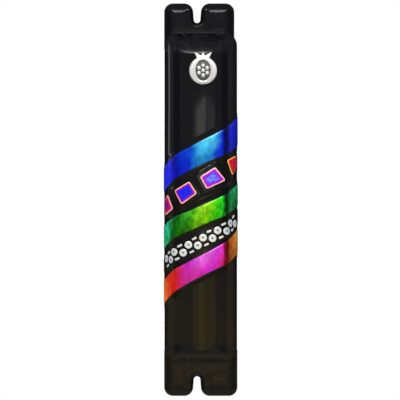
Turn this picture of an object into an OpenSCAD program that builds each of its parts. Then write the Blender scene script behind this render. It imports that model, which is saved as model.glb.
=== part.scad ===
// Wall-hung mezuzah case: a slumped glass channel with fused strips and tiles of coated glass,
// a cast emblem, and a parchment scroll in a clear tube behind it.
// X runs across the case, Z up its length, and the wall is the plane Y = 0, with the front facing -Y.
// "Depth" below is the distance in front of the wall.

/* [Glass case] */
// Height of the case, end to end
case_l = 152.4; // [146:0.1:160]
// Width of the case at the wall
case_w = 28.4; // [27:0.1:30]
// Depth of the channel's crown
crown_d = 13; // [12.6:0.1:14]
// Tilt of the glass where the crown meets the shoulder, in degrees
crown_tilt = 15; // [12:1:18]
// Radius of the shoulder
shoulder_r = 4; // [3:0.1:5]
// Tilt of the glass where the shoulder meets the side, in degrees
shoulder_tilt = 60; // [56:1:64]
// Tilt of the side at the wall, in degrees
foot_tilt = 78; // [75:1:82]

/* [End tabs] */
// Thickness of the two flat tabs
tab_t = 5; // [4:0.1:6]
// Radius of the tabs' outer corners
tab_r = 3.4; // [2:0.1:4]
// How much the top tab is narrower on its right side
tab_inset = 1.2; // [0:0.1:2]
// Sideways place of the screw notches
notch_x = -1.45; // [-3:0.05:3]
// Width of a notch at its mouth, before the corners are rounded
notch_mouth_w = 3.5; // [3.2:0.1:4]
// Width of a notch at its inner end
notch_w = 2.6; // [2.5:0.1:3.2]
// Depth of a notch into the tab
notch_l = 7.6; // [6:0.1:8]
// Radius of the rounded corners at a notch's mouth
notch_r = 3.2; // [1:0.1:3.3]

/* [Channel in the back] */
// Half width of the channel at the wall
channel_half_w = 8; // [7.6:0.1:8.4]
// Half width of the channel's roof, before its corners are rounded
roof_half_w = 6.8; // [6.4:0.1:7.2]
// Depth of the channel
channel_d = 9.6; // [9.4:0.1:9.8]
// Radius along the corners of the roof
roof_r = 4; // [3:0.1:5]

/* [Fused strips and tiles] */
// Height of a strip or tile above the glass
relief = 0.5; // [0.4:0.1:0.9]
// Share of the flanks' extra surface length that a strip gains as it sags over them
sag = 0.6; // [0.4:0.05:0.8]
// Tilt of the dotted strip, in degrees
dotted_tilt = 26.5; // [20:0.5:32]
// Width of the dotted strip
dotted_w = 5.6; // [5.2:0.1:6]
// Height of the dotted strip's centre
dotted_z = -16; // [-18:0.1:-14]
// Distance between dots along a row
dot_pitch = 6.2; // [5.8:0.1:7]
// Diameter of a dot
dot_d = 2.9; // [2:0.1:3]
// Distance of each row of dots from the strip's centre line
dot_row = 0.9; // [0.7:0.1:1]
// Thickness of the bright coat on the dots
coat_t = 0.15; // [0.1:0.05:0.3]

/* [Emblem] */
// Height of the emblem's centre
emblem_z = 50.4; // [40:0.1:51]
// Sideways place of the emblem's centre
emblem_x = 0.9; // [-1:0.1:1]
// Radius of the emblem's fruit
fruit_r = 5.3; // [4.5:0.1:5.6]
// Thickness of the emblem's rim
emblem_t = 2.2; // [1.6:0.1:2.6]
// Adhesive between the crown's apex and the emblem's back
glue_t = 0.2; // [0.1:0.05:0.4]

/* [Scroll and tube] */
// Outer radius of the clear tube
tube_r = 4.1; // [3.9:0.05:4.2]
// Wall of the clear tube
tube_wall = 0.4; // [0.3:0.05:0.5]
// Length of the clear tube
tube_l = 84; // [70:1:88]
// Length of a stopper's plug, inside the tube
plug_l = 5; // [3:0.5:6]
// Radial clearance of a plug in the tube
plug_gap = 0.04; // [0.02:0.01:0.08]
// Outer radius of the rolled parchment
scroll_r = 3.3; // [2.5:0.1:3.5]
// Radius of the hole down the middle of the roll
scroll_bore_r = 0.8; // [0.4:0.1:1.2]
// Height of the rolled parchment
scroll_l = 70; // [50:1:72]
// Length of each foam pad
pad_l = 12; // [8:1:16]
// Distance of each pad's centre from the middle of the case
pad_z = 27; // [15:1:30]

/* [Hidden] */
$fn = 64;

half_w = case_w / 2;
half_l = case_l / 2;
// Room left round a cutting shape so that it passes right through
over = 1;

// The raised channel's end slopes, as [height at the tab, height at the crown]
top_slope = [64.4, 58.6];
bottom_slope = [-62.8, -58.9];
crest_r = 2.5;
foot_r = 1;
// Where each tab takes over from the channel
top_tab_z = 60.5;
bottom_tab_z = -60.5;

// Radii of the crown and side arcs that join tangentially and end at the wall
width_left = half_w - shoulder_r * (sin(shoulder_tilt) - sin(crown_tilt));
depth_left = crown_d - shoulder_r * (cos(crown_tilt) - cos(shoulder_tilt));
side_run = sin(foot_tilt) - sin(shoulder_tilt);
side_fall = cos(shoulder_tilt) - cos(foot_tilt);
crown_fall = 1 - cos(crown_tilt);
arcs_det = sin(crown_tilt) * side_fall - side_run * crown_fall;
crown_r = (width_left * side_fall - depth_left * side_run) / arcs_det;
side_r = (depth_left * sin(crown_tilt) - width_left * crown_fall) / arcs_det;
crown_end_x = crown_r * sin(crown_tilt);
shoulder_end_x = crown_end_x + shoulder_r * (sin(shoulder_tilt) - sin(crown_tilt));
crown_s = crown_r * crown_tilt * PI / 180;
shoulder_s = crown_s + shoulder_r * (shoulder_tilt - crown_tilt) * PI / 180;

// Centres of the three arcs, as [x, depth]
crown_c = [0, crown_d - crown_r];
shoulder_c = crown_c + (crown_r - shoulder_r) * [sin(crown_tilt), cos(crown_tilt)];
side_c = shoulder_c + (shoulder_r - side_r) * [sin(shoulder_tilt), cos(shoulder_tilt)];

function arc(c, r, from, to, n) =
    [for (i = [1:n]) let (a = from + (to - from) * i / n) c + r * [sin(a), cos(a)]];

// Right half of the outer cross-section, raised by g: points [x, depth]
function half_section(g) = concat(
    [[0, crown_d + g]],
    arc(crown_c, crown_r + g, 0, crown_tilt, 8),
    arc(shoulder_c, shoulder_r + g, crown_tilt, shoulder_tilt, 10),
    arc(side_c, side_r + g, shoulder_tilt, foot_tilt, 8));
function reversed(p) = [for (i = [len(p) - 1:-1:0]) p[i]];
function section(g) = let (h = half_section(g))
    concat([for (q = reversed(h)) [-q[0], q[1]]], [for (i = [1:len(h) - 1]) h[i]]);

// Distance along the surface from the crown's middle to x
function surface_s(x) =
    x <= crown_end_x ? crown_r * asin(x / crown_r) * PI / 180
    : x <= shoulder_end_x
        ? crown_s + shoulder_r * (asin((x - shoulder_c[0]) / shoulder_r) - crown_tilt) * PI / 180
        : shoulder_s + side_r * (asin((min(x, half_w) - side_c[0]) / side_r) - shoulder_tilt) * PI / 180;
// Place of x on the flat strip before it sagged over the flanks
function flat_u(x) = x < 0 ? -flat_u(-x) : x + sag * (surface_s(min(x, half_w)) - min(x, half_w));
function front_x(u, low = -half_w - over, high = half_w + over, steps = 24) =
    let (mid = (low + high) / 2)
    steps == 0 ? mid
    : flat_u(mid) < u ? front_x(u, mid, high, steps - 1) : front_x(u, low, mid, steps - 1);
function draped(p) = [for (q = p) [front_x(q[0]), q[1]]];

// Outline p with each corner rounded to its own radius in r
function rounded(p, r) = [for (i = [0:len(p) - 1])
    let (
        before = p[(i + len(p) - 1) % len(p)] - p[i],
        after = p[(i + 1) % len(p)] - p[i],
        u = before / norm(before),
        v = after / norm(after),
        half = acos(u * v) / 2,
        c = p[i] + (u + v) / norm(u + v) * r[i] / sin(half),
        from = p[i] + u * r[i] / tan(half) - c,
        turn = sign(u[0] * v[1] - u[1] * v[0]) * (2 * half - 180),
        n = r[i] == 0 ? 0 : 8
    )
    for (k = [0:n]) let (a = n == 0 ? 0 : turn * k / n)
        c + [from[0] * cos(a) - from[1] * sin(a), from[0] * sin(a) + from[1] * cos(a)]];
function subdivided(p, n) = [for (i = [0:len(p) - 1]) for (k = [0:n - 1])
    p[i] + (p[(i + 1) % len(p)] - p[i]) * k / n];

// Extrudes a front-view outline [x, z] from one depth to another
module through_depth(from, to) {
    translate([0, -from, 0]) rotate([90, 0, 0]) linear_extrude(to - from) children();
}
// Extrudes a side-view outline [z, depth] across the width
module through_width(w) {
    rotate([0, -90, 180]) linear_extrude(w, center = true) children();
}
// Extrudes a cross-section outline [x, depth] along the height
module through_height(from, to) {
    translate([0, 0, from]) mirror([0, 1, 0]) linear_extrude(to - from) children();
}
// Skin of the case between two heights above the glass
module skin(low, high, z_from, z_to) {
    through_height(z_from, z_to) polygon(concat(section(high), reversed(section(low))));
}

module case_outline() {
    right_top = half_w - tab_inset;
    mouth = notch_mouth_w / 2;
    floor_w = notch_w / 2;
    floor_r = floor_w - 0.05;
    polygon(rounded(
        [[-half_w, half_l], [notch_x - mouth, half_l], [notch_x - floor_w, half_l - notch_l],
            [notch_x + floor_w, half_l - notch_l], [notch_x + mouth, half_l], [right_top, half_l],
            [right_top, top_slope[0]], [half_w, top_slope[1]], [half_w, -half_l],
            [notch_x + mouth, -half_l], [notch_x + floor_w, notch_l - half_l],
            [notch_x - floor_w, notch_l - half_l], [notch_x - mouth, -half_l], [-half_w, -half_l]],
        [tab_r, notch_r, floor_r, floor_r, notch_r, tab_r, 4, 4, tab_r, notch_r, floor_r, floor_r,
            notch_r, tab_r]));
}

module raised_channel() {
    intersection() {
        through_height(bottom_slope[0] - 4, top_slope[0] + 4)
            polygon(concat(section(0), [[half_w, 0], [-half_w, 0]]));
        through_width(case_w + 2 * over) polygon(rounded(
            [[bottom_slope[0] - 2, 0], [bottom_slope[0], tab_t], [bottom_slope[1], crown_d + 0.05],
                [top_slope[1], crown_d + 0.05], [top_slope[0], tab_t], [top_slope[0] + 2, 0]],
            [0, foot_r, crest_r, crest_r, foot_r, 0]));
    }
}

module channel_space() {
    intersection() {
        through_height(-half_l, half_l) polygon(rounded(
            [[-channel_half_w - 0.15, -over], [-roof_half_w, channel_d], [roof_half_w, channel_d],
                [channel_half_w + 0.15, -over]],
            [0, roof_r, roof_r, 0]));
        through_width(case_w) polygon(rounded(
            [[bottom_slope[0] + 3.4, -over], [bottom_slope[1] + 3.6, channel_d + 0.05],
                [top_slope[1] - 3.8, channel_d + 0.05], [top_slope[0] - 4.2, -over]],
            [0, 3, 3, 0]));
    }
}

module glass_shell() {
    color([0.03, 0.03, 0.04]) difference() {
        intersection() {
            union() {
                raised_channel();
                translate([-half_w, -tab_t, top_tab_z]) cube([case_w, tab_t, half_l - top_tab_z]);
                translate([-half_w, -tab_t, -half_l]) cube([case_w, tab_t, half_l + bottom_tab_z]);
            }
            through_depth(-over, crown_d + over) case_outline();
        }
        channel_space();
    }
}

// A strip's cut edge: tilt in degrees, height at the middle, and how far the cut bows at the sides
function cut_edge(cut, stations) =
    [for (x = stations) [x, cut[1] + tan(cut[0]) * flat_u(x) - cut[2] * pow(min(abs(x), half_w) / half_w, 2)]];
module strip(upper, lower) {
    reach = half_w + over;
    stations = [for (i = [-20:20]) reach * i / 20];
    intersection() {
        skin(0, relief, lower[1] - 20, upper[1] + 20);
        through_depth(-over, crown_d + over)
            polygon(concat(cut_edge(upper, stations), reversed(cut_edge(lower, stations))));
    }
}
module band_blue() {
    color([0.05, 0.3, 0.85]) strip([27.7, 22.5, 0], [25.5, 13.3, 1.35]);
}
module band_green() {
    color([0.35, 0.75, 0.05]) strip([23.6, -2.3, -0.5], [23.7, -10, 0.7]);
}
module band_magenta() {
    color([0.85, 0.15, 0.75]) strip([27.9, -21.3, 0], [27.5, -29.5, 1.25]);
}
module band_dotted() {
    rise = dotted_w / 2 / cos(dotted_tilt);
    color([0.02, 0.02, 0.03]) strip([dotted_tilt, dotted_z + rise, 0], [dotted_tilt, dotted_z - rise, 0]);
}

// Coated marks on the dotted strip: an outline repeated at each [distance along, distance across]
module coat_marks(places, outline) {
    flat_reach = flat_u(half_w);
    intersection() {
        skin(relief, relief + coat_t, dotted_z - 20, dotted_z + 20);
        union() for (p = places)
            let (placed = [for (q = outline) let (a = p + q)
                    [a[0] * cos(dotted_tilt) - a[1] * sin(dotted_tilt),
                        dotted_z + a[0] * sin(dotted_tilt) + a[1] * cos(dotted_tilt)]])
            if (max([for (q = placed) abs(q[0])]) < flat_reach)
                through_depth(-over, crown_d + over) polygon(draped(placed));
    }
}
// Places along a row, from one edge of the case to the other
function row(start, across) = [for (i = [-4:4]) [start + i * dot_pitch, across]];
module pattern_dots() {
    dot = [for (a = [0:18:342]) dot_d / 2 * [cos(a), sin(a)]];
    color("silver") coat_marks(concat(row(1.4, dot_row), row(1.4 + dot_pitch / 2, -dot_row)), dot);
}
module pattern_dashes() {
    dash_l = 1.9;
    dash_w = 0.8;
    dash = rounded([[-dash_l, -dash_w] / 2, [dash_l, -dash_w] / 2, [dash_l, dash_w] / 2,
        [-dash_l, dash_w] / 2], [0.35, 0.35, 0.35, 0.35]);
    across = dot_row + dot_d / 2 - 0.3;
    color("silver") coat_marks(
        concat(row(1.4 - dot_pitch / 2, across), row(1.4, -across)), dash);
}

// A hand-cut tile, given by the corners [u, z] of its flat outline
module tile(corners) {
    intersection() {
        skin(0, relief, corners[0][1] - 20, corners[0][1] + 20);
        through_depth(-over, crown_d + over)
            polygon(draped(subdivided(rounded(corners, [0.9, 0.9, 0.9, 0.9]), 2)));
    }
}
module tile_left_edge() {
    color([0.5, 0, 0.25]) tile([[-14.9, 2.2], [-10.7, -3.6], [-17.4, -6.4], [-18.6, -0.6]]);
}
module tile_left() {
    color([0.2, 0.1, 0.8]) tile([[-10.4, 3.5], [-4.4, 7.2], [-1.3, 2.4], [-7.4, -2.1]]);
}
module tile_right() {
    color([0.6, 0.1, 0.8]) tile([[-0.5, 8.8], [5.5, 12.7], [9.8, 7.4], [2.2, 3.9]]);
}
module tile_right_edge() {
    color([0.75, 0, 0.2]) tile([[10.9, 13.9], [16.4, 17], [18.8, 13.5], [14.3, 9]]);
}

// Outline of the emblem's fruit with its three-pointed crown
module fruit_outline(inset) {
    translate([0, fruit_r - 6.2]) circle(fruit_r - inset);
    polygon([[-1.7 + inset, 2], [-3.1 + inset, 6 - inset], [-1.4, 4.7 - inset], [0, 6.2 - inset],
        [1.4, 4.7 - inset], [3.1 - inset, 6 - inset], [1.7 - inset, 2]]);
}
module emblem() {
    seed_r = 0.85;
    front = crown_d + glue_t + emblem_t;
    fruit_z = fruit_r - 6.2;
    color("silver") translate([emblem_x, 0, emblem_z]) {
        difference() {
            through_depth(front - emblem_t, front) fruit_outline(0);
            translate([0, -front + 0.8, fruit_z]) rotate([90, 0, 0]) scale([0.72, 1, 1])
                cylinder(h = over + 1, r = 4);
        }
        for (seed = [[0, 0], [0, 1.9], [0, -1.9], [1.6, 0.95], [1.6, -0.95], [-1.6, 0.95], [-1.6, -0.95]])
            translate([seed[0], 0.2 - front, fruit_z + seed[1]]) rotate([90, 0, 0])
                translate([0, 0, -0.7]) cylinder(h = 0.7, r = seed_r);
    }
}
module emblem_adhesive() {
    color([0.85, 0.85, 0.8]) translate([emblem_x, 0, emblem_z]) difference() {
        through_depth(crown_d - 2, crown_d + glue_t) translate([0, fruit_r - 6.2]) circle(fruit_r - 0.6);
        translate([-emblem_x, 0, 0]) through_height(-8, 8)
            polygon(concat(section(0), [[half_w, 0], [-half_w, 0]]));
    }
}

// The tube stands just clear of the wall
tube_depth = tube_r + 0.45;
module at_tube(z) {
    translate([0, -tube_depth, z]) children();
}
// A pad between the channel's roof and the tube, whose lips stop just short of the scroll's depth
module foam_pad(z) {
    pad_half_w = 3;
    lip_depth = tube_depth + scroll_r + 0.15;
    color([0.9, 0.9, 0.88]) difference() {
        translate([-pad_half_w, -channel_d, z - pad_l / 2])
            cube([pad_half_w * 2, channel_d - lip_depth, pad_l]);
        at_tube(z - pad_l) cylinder(h = pad_l * 2, r = tube_r + 0.1);
        difference() {
            translate([-half_w, -channel_d - over, z - pad_l]) cube([case_w, channel_d, pad_l * 2]);
            channel_space();
        }
    }
}
module foam_pad_upper() {
    foam_pad(pad_z);
}
module foam_pad_lower() {
    foam_pad(-pad_z);
}
module scroll_tube() {
    color([0.85, 0.92, 0.95, 0.4]) at_tube(-tube_l / 2) difference() {
        cylinder(h = tube_l, r = tube_r);
        translate([0, 0, -over]) cylinder(h = tube_l + 2 * over, r = tube_r - tube_wall);
    }
}
// A stopper with its flange at height 0 and its plug below
module stopper() {
    flange_t = 1.2;
    rim_gap = 0.02;
    bevel = 0.6;
    plug_r = tube_r - tube_wall - plug_gap;
    rotate_extrude() polygon([[0, -plug_l], [plug_r - bevel, -plug_l], [plug_r, bevel - plug_l],
        [plug_r, rim_gap], [tube_r - 0.1, rim_gap], [tube_r - 0.1, flange_t], [tube_r - 0.5, flange_t + 0.4],
        [1.6, flange_t + 0.4], [1.6, flange_t + 1.6], [1.2, flange_t + 2], [0, flange_t + 2]]);
}
module upper_stopper() {
    color("ivory") at_tube(tube_l / 2) stopper();
}
module lower_stopper() {
    color("ivory") at_tube(-tube_l / 2) mirror([0, 0, 1]) stopper();
}
module scroll() {
    rest_gap = 0.1;
    color([0.93, 0.88, 0.76]) at_tube(plug_l - tube_l / 2 + rest_gap) difference() {
        cylinder(h = scroll_l, r = scroll_r);
        translate([0, 0, -over]) cylinder(h = scroll_l + 2 * over, r = scroll_bore_r);
    }
}

glass_shell();
band_blue();
band_green();
band_magenta();
band_dotted();
pattern_dots();
pattern_dashes();
tile_left_edge();
tile_left();
tile_right();
tile_right_edge();
emblem();
emblem_adhesive();
foam_pad_upper();
foam_pad_lower();
scroll_tube();
upper_stopper();
lower_stopper();
scroll();
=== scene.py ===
"""Looks of the wall-hung mezuzah case: slumped black glass, fused coated strips and tiles, a cast emblem,
and the scroll in its tube behind. Shapes are in millimetres until a mesh is made, and lights and camera
in metres. Points are (x, y, z) in the frame's axes; depth is the distance in front of the wall, -y."""

import math

import bpy
import bmesh
import numpy as np
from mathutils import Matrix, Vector


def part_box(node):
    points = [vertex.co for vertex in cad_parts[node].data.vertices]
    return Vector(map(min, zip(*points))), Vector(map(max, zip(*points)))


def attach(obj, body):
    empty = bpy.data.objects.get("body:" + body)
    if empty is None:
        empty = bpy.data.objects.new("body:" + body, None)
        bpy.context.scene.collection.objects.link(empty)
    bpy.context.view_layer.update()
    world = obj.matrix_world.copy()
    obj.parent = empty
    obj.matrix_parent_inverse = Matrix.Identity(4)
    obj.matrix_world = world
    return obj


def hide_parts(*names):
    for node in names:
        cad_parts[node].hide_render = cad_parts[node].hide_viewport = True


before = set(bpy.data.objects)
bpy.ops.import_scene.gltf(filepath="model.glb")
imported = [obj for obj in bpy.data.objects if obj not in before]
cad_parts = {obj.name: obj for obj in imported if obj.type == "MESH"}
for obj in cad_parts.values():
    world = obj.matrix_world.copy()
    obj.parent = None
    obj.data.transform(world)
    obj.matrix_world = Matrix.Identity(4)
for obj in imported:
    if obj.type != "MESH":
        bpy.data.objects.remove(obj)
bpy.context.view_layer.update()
MM = 0.001


def node_box(name):
    """Lowest and highest corner of a CAD node, in millimetres."""
    low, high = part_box(name)
    return np.array(low) / MM, np.array(high) / MM


# ---- Sizes of the case ----

CASE_LOW, CASE_HIGH = node_box("glass_shell")
HALF_W = CASE_HIGH[0]
HALF_L = CASE_HIGH[2]
CROWN_DEPTH = -CASE_LOW[1]

# Tilts of the outer surface at the ends of its crown, shoulder and side arcs, in degrees
CROWN_TILT, SHOULDER_TILT, FOOT_TILT = 15.0, 60.0, 78.0
SHOULDER_R = 4.0
# Share of the flanks' extra surface length that a strip gained as it sagged
SAG = 0.6
# Height of strips and tiles above the glass, and how deep their undersides are sunk in it
RELIEF = 0.5
SUNK = 0.15
# Share of that height lost at the foot of a flank, where they bent down and sank in further
FLANK_SINK = 0.6

TAB_T = 5.0
TAB_CORNER_R = 3.4
TAB_INSET = 1.2
# Heights of each slope's foot on the tab and of its crest
TOP_SLOPE = (64.4, 58.6)
BOTTOM_SLOPE = (-63.0, -59.9)
NOTCH_X = -1.45
NOTCH_END_R = 1.3
NOTCH_DEPTH = 7.6
NOTCH_TAPER = 0.07
NOTCH_MOUTH_R = 3.2
# Heights between which the right side steps in at the top tab
INSET_Z = (58.0, 60.0)
# Beyond this height the outline is the tabs' own
TAB_Z = 58.5

# Roundings of the glass: crests of the slopes, edges of the raised part, tabs, back and channel
TOP_CREST_R, BOTTOM_CREST_R, RAISED_EDGE_R = 3.0, 2.0, 1.0
TAB_EDGE_R, BACK_EDGE_R, CHANNEL_EDGE_R = 3.0, 0.25, 0.9

CHANNEL_HALF_W = 8.0
CHANNEL_DEPTH = 9.6
# How much each side of the channel leans in for every millimetre of depth, and its inner corners
CHANNEL_DRAFT = 0.127
CHANNEL_CORNER_R, CHANNEL_END_R = 4.0, 3.0
# Heights of the channel's ends at the back and at its roof
CHANNEL_TOP = (59.7, 54.8)
CHANNEL_BOTTOM = (-59.0, -55.3)

# Spacing of the grids that the glass, the emblem and the foam are meshed on
GLASS_GRID, EMBLEM_GRID, FOAM_GRID = 0.4, 0.15, 0.22


# ---- The outer cross-section, as three tangent arcs ----


def section_arcs():
    """Centres [x, depth], radii, start tilts and start distances of the crown, shoulder and side arcs."""
    tilts = np.radians([0.0, CROWN_TILT, SHOULDER_TILT, FOOT_TILT])
    sines, cosines = np.sin(tilts), np.cos(tilts)
    width = HALF_W - SHOULDER_R * (sines[2] - sines[1])
    depth = CROWN_DEPTH - SHOULDER_R * (cosines[1] - cosines[2])
    crown_r, side_r = np.linalg.solve(
        [[sines[1], sines[3] - sines[2]], [1 - cosines[1], cosines[2] - cosines[3]]],
        [width, depth],
    )
    radii = np.array([crown_r, SHOULDER_R, side_r])
    centres = [np.array([0.0, CROWN_DEPTH - crown_r])]
    for i in (1, 2):
        step = (radii[i - 1] - radii[i]) * np.array([sines[i], cosines[i]])
        centres.append(centres[-1] + step)
    starts = np.concatenate([[0.0], np.cumsum(radii * np.diff(tilts))])
    return np.array(centres), radii, tilts, starts


CENTRES, RADII, TILTS, STARTS = section_arcs()
FOOT_S = STARTS[3]


def on_surface(s, z, height):
    """Point at distance s round the section from the crown's middle, and at a height above the glass."""
    s, z, height = np.broadcast_arrays(*(np.asarray(v, float) for v in (s, z, height)))
    arc = np.clip(np.searchsorted(STARTS, np.abs(s), side="right") - 1, 0, 2)
    tilt = TILTS[arc] + (np.abs(s) - STARTS[arc]) / RADII[arc]
    x = CENTRES[arc, 0] + (RADII[arc] + height) * np.sin(tilt)
    depth = CENTRES[arc, 1] + (RADII[arc] + height) * np.cos(tilt)
    return np.stack([np.sign(s) * x, -depth, z], -1)


def to_surface(x, depth):
    """Distance round the section and height above it, of points near the outer surface."""
    side = np.abs(x)
    offsets = [(side - c[0], depth - c[1]) for c in CENTRES]
    angles = [np.arctan2(dx, dy) for dx, dy in offsets]
    arc = np.where(angles[0] < TILTS[1], 0, np.where(angles[1] < TILTS[2], 1, 2))
    tilt = np.choose(arc, angles)
    radius = np.choose(arc, [np.hypot(dx, dy) for dx, dy in offsets])
    s = STARTS[arc] + (tilt - TILTS[arc]) * RADII[arc]
    return np.sign(x) * s, radius - RADII[arc]


# Matching distances round the section (s), across the front view (x) and along the flat strip (u)
S_TABLE = np.linspace(0, FOOT_S, 400)
X_TABLE = on_surface(S_TABLE, 0, 0)[..., 0]
U_TABLE = X_TABLE + SAG * (S_TABLE - X_TABLE)


def flat_of(s):
    """Distance u along the flat strip, at distance s round the section."""
    return np.sign(s) * np.interp(np.abs(s), S_TABLE, U_TABLE)


def round_of(u):
    """Distance s round the section, at distance u along the flat strip."""
    return np.sign(u) * np.interp(np.abs(u), U_TABLE, S_TABLE)


def front_x_of(s):
    """Where x a point of the surface is in the front view, at distance s round the section."""
    return np.sign(s) * np.interp(np.abs(s), S_TABLE, X_TABLE)


# ---- Strips and tiles: where they lie ----

# Each cut edge: its tilt in degrees, its height at the middle, and how far the cut bows at the sides
STRIPS = {
    "band_blue": ((27.7, 22.5, 0.0), (25.5, 13.3, 1.35)),
    "band_green": ((23.6, -2.3, -0.5), (23.7, -10.0, 0.7)),
    "band_magenta": ((27.9, -21.3, 0.0), (27.5, -29.5, 1.25)),
}
DOTTED_TILT, DOTTED_Z, DOTTED_W = 26.5, -16.0, 5.6
DOT_PITCH, DOT_R, DOT_ROW, DOT_START = 6.2, 1.45, 0.9, 1.4
DOTTED_RISE = DOTTED_W / 2 / math.cos(math.radians(DOTTED_TILT))
STRIPS["band_dotted"] = (
    (DOTTED_TILT, DOTTED_Z + DOTTED_RISE, 0.0),
    (DOTTED_TILT, DOTTED_Z - DOTTED_RISE, 0.0),
)

# Corners of each tile on the flat strip, as (u, z)
TILES = {
    "tile_left_edge": ((-14.9, 2.2), (-10.7, -3.6), (-17.4, -6.4), (-18.6, -0.6)),
    "tile_left": ((-10.4, 3.5), (-4.4, 7.2), (-1.3, 2.4), (-7.4, -2.1)),
    "tile_right": ((-0.5, 8.8), (5.5, 12.7), (9.8, 7.4), (2.2, 3.9)),
    "tile_right_edge": ((9.9, 15.2), (16.4, 17.2), (18.8, 13.5), (13.6, 9.2)),
}


def cut_height(cut, s):
    """Height z of a strip's cut edge at distance s round the section."""
    tilt, middle, bow = cut
    rise = math.tan(math.radians(tilt)) * flat_of(s)
    return middle + rise - bow * (front_x_of(s) / HALF_W) ** 2


def strip_distance(name, s, z):
    """How far outside a strip's edges a point of the surface is, negative inside."""
    upper, lower = STRIPS[name]
    lean = math.cos(math.radians(upper[0]))
    return np.maximum(z - cut_height(upper, s), cut_height(lower, s) - z) * lean


def tile_distance(name, s, z):
    """How far outside a tile's edges a point of the surface is, negative inside."""
    corners = np.array(TILES[name])
    middle = corners.mean(0)
    u = flat_of(s)
    found = np.full(np.shape(u), -1e9)
    for a, b in zip(corners, np.roll(corners, -1, 0)):
        normal = np.array([b[1] - a[1], a[0] - b[0]]) / np.hypot(*(b - a))
        if normal @ (middle - a) > 0:
            normal = -normal
        found = np.maximum(found, (u - a[0]) * normal[0] + (z - a[1]) * normal[1])
    return found


# ---- Implicit surfaces ----


def round_and(a, b, r):
    """Both shapes, with the outer edge where they meet rounded to radius r."""
    corner = np.hypot(np.maximum(a + r, 0), np.maximum(b + r, 0))
    return np.minimum(-r, np.maximum(a, b)) + corner


def round_or(a, b, r):
    """Either shape, with a fillet of radius r in the inner corner where they meet."""
    corner = np.hypot(np.maximum(r - a, 0), np.maximum(r - b, 0))
    return np.maximum(r, np.minimum(a, b)) - corner


def smooth_step(low, high, v):
    """0 up to low and 1 from high on, or the other way round if high is the smaller."""
    t = np.clip((v - low) / (high - low), 0, 1)
    return t * t * (3 - 2 * t)


def proud_share(s):
    """How much of its height over the glass a strip or tile keeps, at a distance round the section."""
    return 1 - FLANK_SINK * smooth_step(STARTS[1], FOOT_S, np.abs(s))


def beyond_line(along, height, foot, crest):
    """Signed distance past the sloping line from foot to crest, each (along, height)."""
    run, rise = crest[0] - foot[0], crest[1] - foot[1]
    length = math.hypot(run, rise)
    side = -1 if run > 0 else 1
    return side * ((along - foot[0]) * rise - (height - foot[1]) * run) / length


# Waves left in the glass: relative height, turn in radians per millimetre across and along, and phase
RIPPLE_HEIGHT = 0.012
RIPPLES = ((1, 0.42, 0.1, 1.3), (1, -0.61, 0.07, 4.1), (0.6, 0.17, -0.2, 2.2), (0.5, 0.95, 0.12, 0))


def ripple(x, z):
    """The slight waviness that kiln-formed glass keeps."""
    waves = (share * np.sin(a * x + b * z + phase) for share, a, b, phase in RIPPLES)
    return RIPPLE_HEIGHT * sum(waves)


def bank(distance, height, near, far):
    """A bank that is full up to the near distance and gone at the far one."""
    return height * (1 - smooth_step(near, far, distance))


def meniscus(s, z):
    """How much the glass stands up beside the strips and tiles that sank into it."""
    strips = np.minimum.reduce([strip_distance(name, s, z) for name in STRIPS])
    tiles = np.minimum.reduce([tile_distance(name, s, z) for name in TILES])
    # The glass broke off more steeply round one tile, and catches the light there
    one_tile = tile_distance("tile_right", s, z)
    banks = [bank(strips, 0.2, 0.4, 2.2), bank(tiles, 0.26, 0.7, 2.4), bank(one_tile, 0.3, 1.0, 2.2)]
    return proud_share(s) * np.maximum.reduce(banks)


def plan_distance(x, z):
    """Signed distance outside the case's outline seen from the front."""
    right = HALF_W - TAB_INSET * smooth_step(*INSET_Z, z)
    centre, half = (right - HALF_W) / 2, (right + HALF_W) / 2
    outline = round_and(np.abs(x - centre) - half, np.abs(z) - HALF_L, TAB_CORNER_R)
    floor_z = HALF_L - NOTCH_DEPTH + NOTCH_END_R
    past = np.abs(z) - floor_z
    slot = np.hypot(x - NOTCH_X, np.minimum(past, 0)) - NOTCH_END_R
    return round_and(outline, NOTCH_TAPER * np.maximum(past, 0) - slot, NOTCH_MOUTH_R)


def end_distance(x, z):
    """Signed distance outside the rounded-off rectangle that the raised part keeps to."""
    corner_r, spare_w, spare_l = 8.0, 1.4, 0.6
    middle = (TOP_SLOPE[0] + BOTTOM_SLOPE[0]) / 2
    half = (TOP_SLOPE[0] - BOTTOM_SLOPE[0]) / 2 + spare_l
    return round_and(np.abs(x) - HALF_W - spare_w, np.abs(z - middle) - half, corner_r)


def channel_distance(x, depth, z):
    """Signed distance outside the channel in the back."""
    side = np.abs(x) - (CHANNEL_HALF_W - CHANNEL_DRAFT * depth)
    roof = depth - CHANNEL_DEPTH - 0.1 * ripple(z, x)
    found = round_and(side, roof, CHANNEL_CORNER_R)
    for back_z, roof_z in (CHANNEL_TOP, CHANNEL_BOTTOM):
        end = beyond_line(z, depth, (back_z, 0), (roof_z, CHANNEL_DEPTH))
        found = round_and(found, end, CHANNEL_END_R)
    return found


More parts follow.
